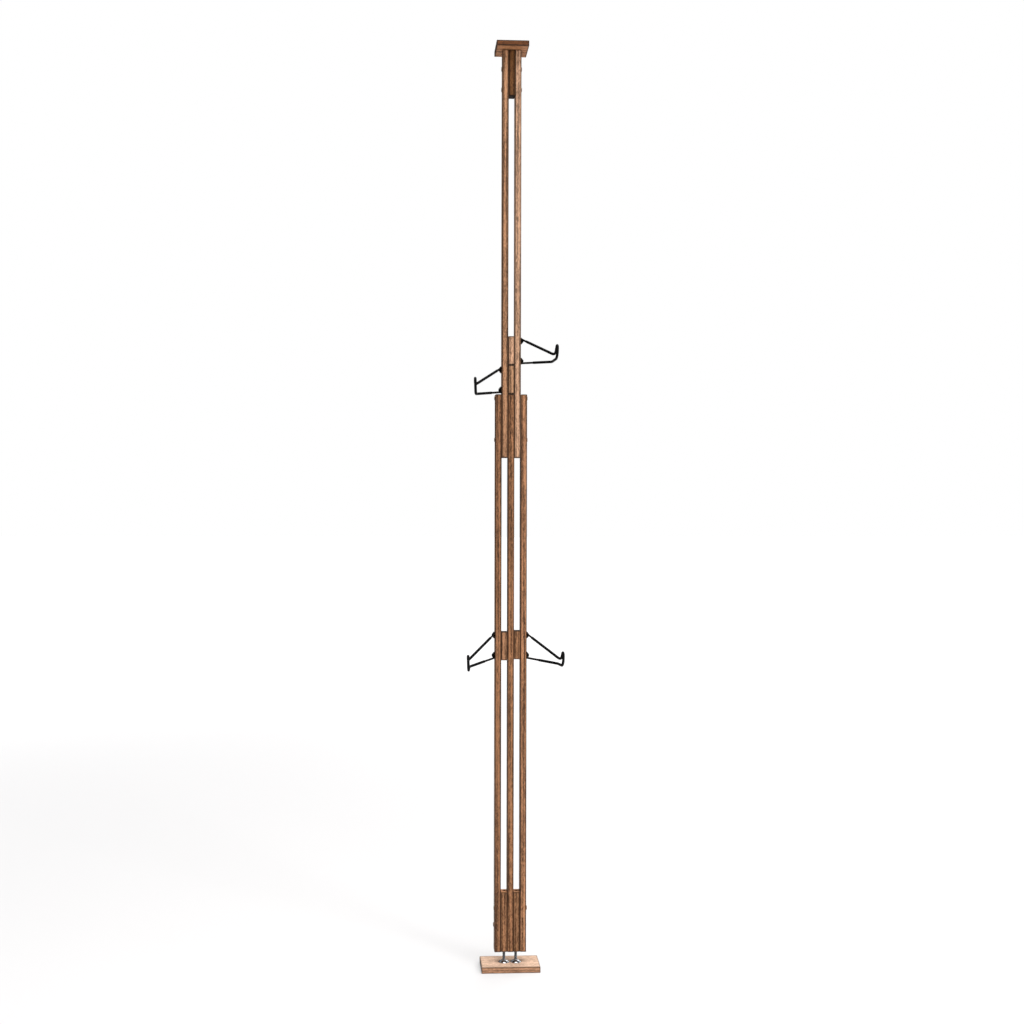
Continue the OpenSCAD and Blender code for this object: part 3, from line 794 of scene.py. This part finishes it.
paint = black_paint()
rubber = black_sleeve()
chrome = bare_metal("chrome", (0.20, 0.205, 0.215), (0.42, 0.425, 0.44), 0.13, (1, 1, 1))
zinc = bare_metal("zinc", (0.10, 0.11, 0.12), (0.24, 0.25, 0.27), 0.26, (1, 1, 0.2), 2.0)
bronze = bare_metal("bronzed", (0.090, 0.052, 0.030), (0.16, 0.095, 0.058), 0.38, (1, 1, 1), 5.0)

for side in ("left", "right"):
    foot_disc(side, chrome)
    foot_rod(side, zinc)

for arm in ("lower_left", "lower_right", "upper_left", "upper_right"):
    line = rod_line(arm + "_arm")
    bent_rod(arm + "_arm", line, paint)
    sleeve(arm + "_grip", line, rubber)
    softened(arm + "_washers", paint, BLACK_ROUND, METAL_STEPS)
    softened(arm + "_bolts", paint, BLACK_ROUND, METAL_STEPS)

for node in BRONZED:
    softened(node, bronze, BRONZED_ROUND, METAL_STEPS)
for node in ZINC:
    softened(node, zinc, ZINC_ROUND, METAL_STEPS)


# ---- Studio ----

FLOOR_HALF = 60.0
# The floor's tone as the object sees it, in soft patches, and as the camera sees it
FLOOR_SHADES = [(0.3, (0.80,) * 3), (0.7, (0.84,) * 3)]
FLOOR_SEEN = (0.43, 0.422, 0.42)
# How far from the middle, in metres, its glow grows for the camera, and how strong it is there
GLOW_NEAR, GLOW_FAR = 0.5, 8.0
GLOW_LEAST, GLOW_MOST = 0.22, 0.82

# The dome's colour and its least light. It gains light upwards and to the right: between which
# parts of the direction, and how much at each
DOME_COLOUR = (0.97, 0.985, 1.0, 1.0)
DOME_LEAST = 0.10
DOME_ABOVE = (-0.05, 0.85, 0.0, 0.55)
DOME_RIGHT = (-0.5, 0.9, 0.0, 0.30)
WHITE = (1.0, 1.0, 1.0, 1.0)

POLE_FOOT, POLE_MIDDLE, POLE_HEAD = (0, 0, 0), (0, 0, 1.3), (0, 0, 2.6)

# Each soft light: its place, what it points at, its two sizes and its power
LIGHTS = {
    "key": ((2.3, -2.6, 2.9), POLE_MIDDLE, (1.0, 1.8), 58.0),
    "front": ((1.0, -4.3, 2.1), POLE_MIDDLE, (1.4, 2.6), 36.0),
    "overhead": ((0.3, -0.4, 5.2), POLE_FOOT, (3.0, 3.0), 320.0),
    "back": ((1.8, 3.8, 2.4), POLE_MIDDLE, (1.6, 2.6), 46.0),
    "bounce": ((1.0, -1.2, 0.1), POLE_HEAD, (1.6, 1.2), 34.0),
}


def add_floor():
    """A wide pale floor that runs out to white."""
    material, tree, shader = surface("floor")
    soft = noise(tree, placed(tree), 1.2, 3.0, 0.5)
    seen = camera_sees(tree)
    place = coordinate(tree, "Object")
    measure = put(tree, "ShaderNodeVectorMath", {0: place}, operation="LENGTH")
    glow = span(tree, measure.outputs["Value"], GLOW_NEAR, GLOW_FAR, GLOW_LEAST, GLOW_MOST)
    fill(tree, shader, {
        "Base Color": mix(tree, seen, ramp(tree, soft, FLOOR_SHADES), FLOOR_SEEN),
        "Roughness": 0.85, "Specular IOR Level": 0.1, "Emission Color": WHITE,
        "Emission Strength": calc(tree, "MULTIPLY", seen, glow),
    })
    corners = [(x * FLOOR_HALF, y * FLOOR_HALF, 0) for x, y in ((-1, -1), (1, -1), (1, 1), (-1, 1))]
    mesh = bpy.data.meshes.new("floor")
    mesh.from_pydata(corners, [], [(0, 1, 2, 3)])
    mesh.materials.append(material)
    floor = bpy.data.objects.new("floor", mesh)
    bpy.context.scene.collection.objects.link(floor)


def add_world():
    """White behind the object, and a dome that lights it, bright above and to the right."""
    world = bpy.data.worlds.new("studio")
    world.use_nodes = True
    bpy.context.scene.world = world
    tree = world.node_tree
    tree.nodes.clear()
    direction = separate(tree, coordinate(tree, "Generated"))
    above = span(tree, direction[2], *DOME_ABOVE)
    right = span(tree, direction[0], *DOME_RIGHT)
    level = calc(tree, "ADD", calc(tree, "ADD", above, right), DOME_LEAST)
    lit = put(tree, "ShaderNodeBackground", {"Color": DOME_COLOUR, "Strength": level})
    seen = put(tree, "ShaderNodeBackground", {"Color": WHITE, "Strength": 1.0})
    both = put(
        tree, "ShaderNodeMixShader",
        {0: camera_sees(tree), 1: lit.outputs[0], 2: seen.outputs[0]},
    )
    put(tree, "ShaderNodeOutputWorld", {"Surface": both.outputs[0]})


def add_light(name, place, target, size, power):
    """A soft light that the camera doesn't see, turned towards target."""
    data = bpy.data.lights.new(name, "AREA")
    data.shape = "RECTANGLE"
    data.size, data.size_y = size
    data.energy = power
    light = bpy.data.objects.new(name, data)
    light.visible_camera = False
    bpy.context.scene.collection.objects.link(light)
    light.location = place
    light.rotation_euler = (Vector(target) - Vector(place)).to_track_quat("-Z", "Y").to_euler()


add_floor()
add_world()
for name, setting in LIGHTS.items():
    add_light(name, *setting)
bpy.context.scene.view_settings.view_transform = "Standard"
